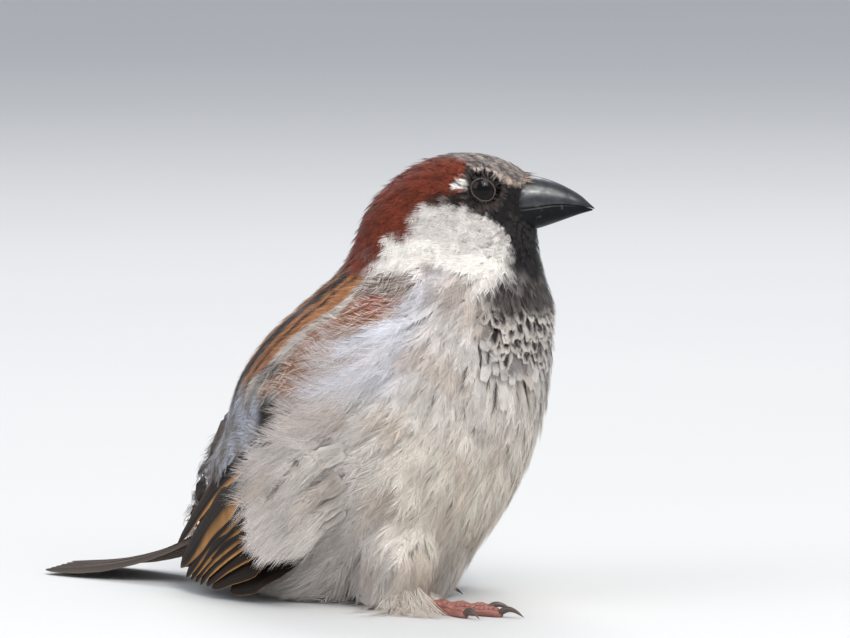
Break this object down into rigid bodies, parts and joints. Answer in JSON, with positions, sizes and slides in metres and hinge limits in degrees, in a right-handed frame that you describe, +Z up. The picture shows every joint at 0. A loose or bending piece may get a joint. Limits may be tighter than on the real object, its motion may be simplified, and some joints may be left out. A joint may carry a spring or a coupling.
{
  "type": "house sparrow",
  "caption": "Male house sparrow sitting fluffed and upright with its head turned to its left, wings folded and tail laid on the ground.",
  "frame": {"origin": "on the ground under the middle of the bird's overall box", "axes": "+X the way the breast points and the tail's line, +Y the bird's left side, +Z up"},
  "size_m": [0.1136, 0.055, 0.0836],
  "materials": {
    "crown_feathers": "matt short feathers",
    "nape_feathers": "matt short feathers",
    "body_feathers": "soft downy feathers",
    "wing_coverts": "matt overlapping feathers",
    "flight_feathers": "smooth stiff feathers",
    "tail_feathers": "smooth stiff feathers",
    "bill_horn": "satin horn",
    "eye_ball": "wet gloss",
    "leg_scale": "scaled dry skin",
    "claw_horn": "satin horn"
  },
  "bodies": {
    "root": {"head": "crown_feathers", "bill_upper": "bill_horn", "bill_lower": "bill_horn", "neck": "nape_feathers", "trunk": "body_feathers", "eye_right": "eye_ball", "wing_right_coverts": "wing_coverts", "wing_right_secondaries": "flight_feathers", "wing_right_primaries": "flight_feathers", "thigh_right": "body_feathers", "shank_right": "leg_scale", "toe_right_middle": "leg_scale", "claw_right_middle": "claw_horn", "toe_right_inner": "leg_scale", "claw_right_inner": "claw_horn", "toe_right_outer": "leg_scale", "claw_right_outer": "claw_horn", "toe_right_hallux": "leg_scale", "claw_right_hallux": "claw_horn", "eye_left": "eye_ball", "wing_left_coverts": "wing_coverts", "wing_left_secondaries": "flight_feathers", "wing_left_primaries": "flight_feathers", "thigh_left": "body_feathers", "shank_left": "leg_scale", "toe_left_middle": "leg_scale", "claw_left_middle": "claw_horn", "toe_left_inner": "leg_scale", "claw_left_inner": "claw_horn", "toe_left_outer": "leg_scale", "claw_left_outer": "claw_horn", "toe_left_hallux": "leg_scale", "claw_left_hallux": "claw_horn", "tail": "tail_feathers"}
  },
  "joints": []
}
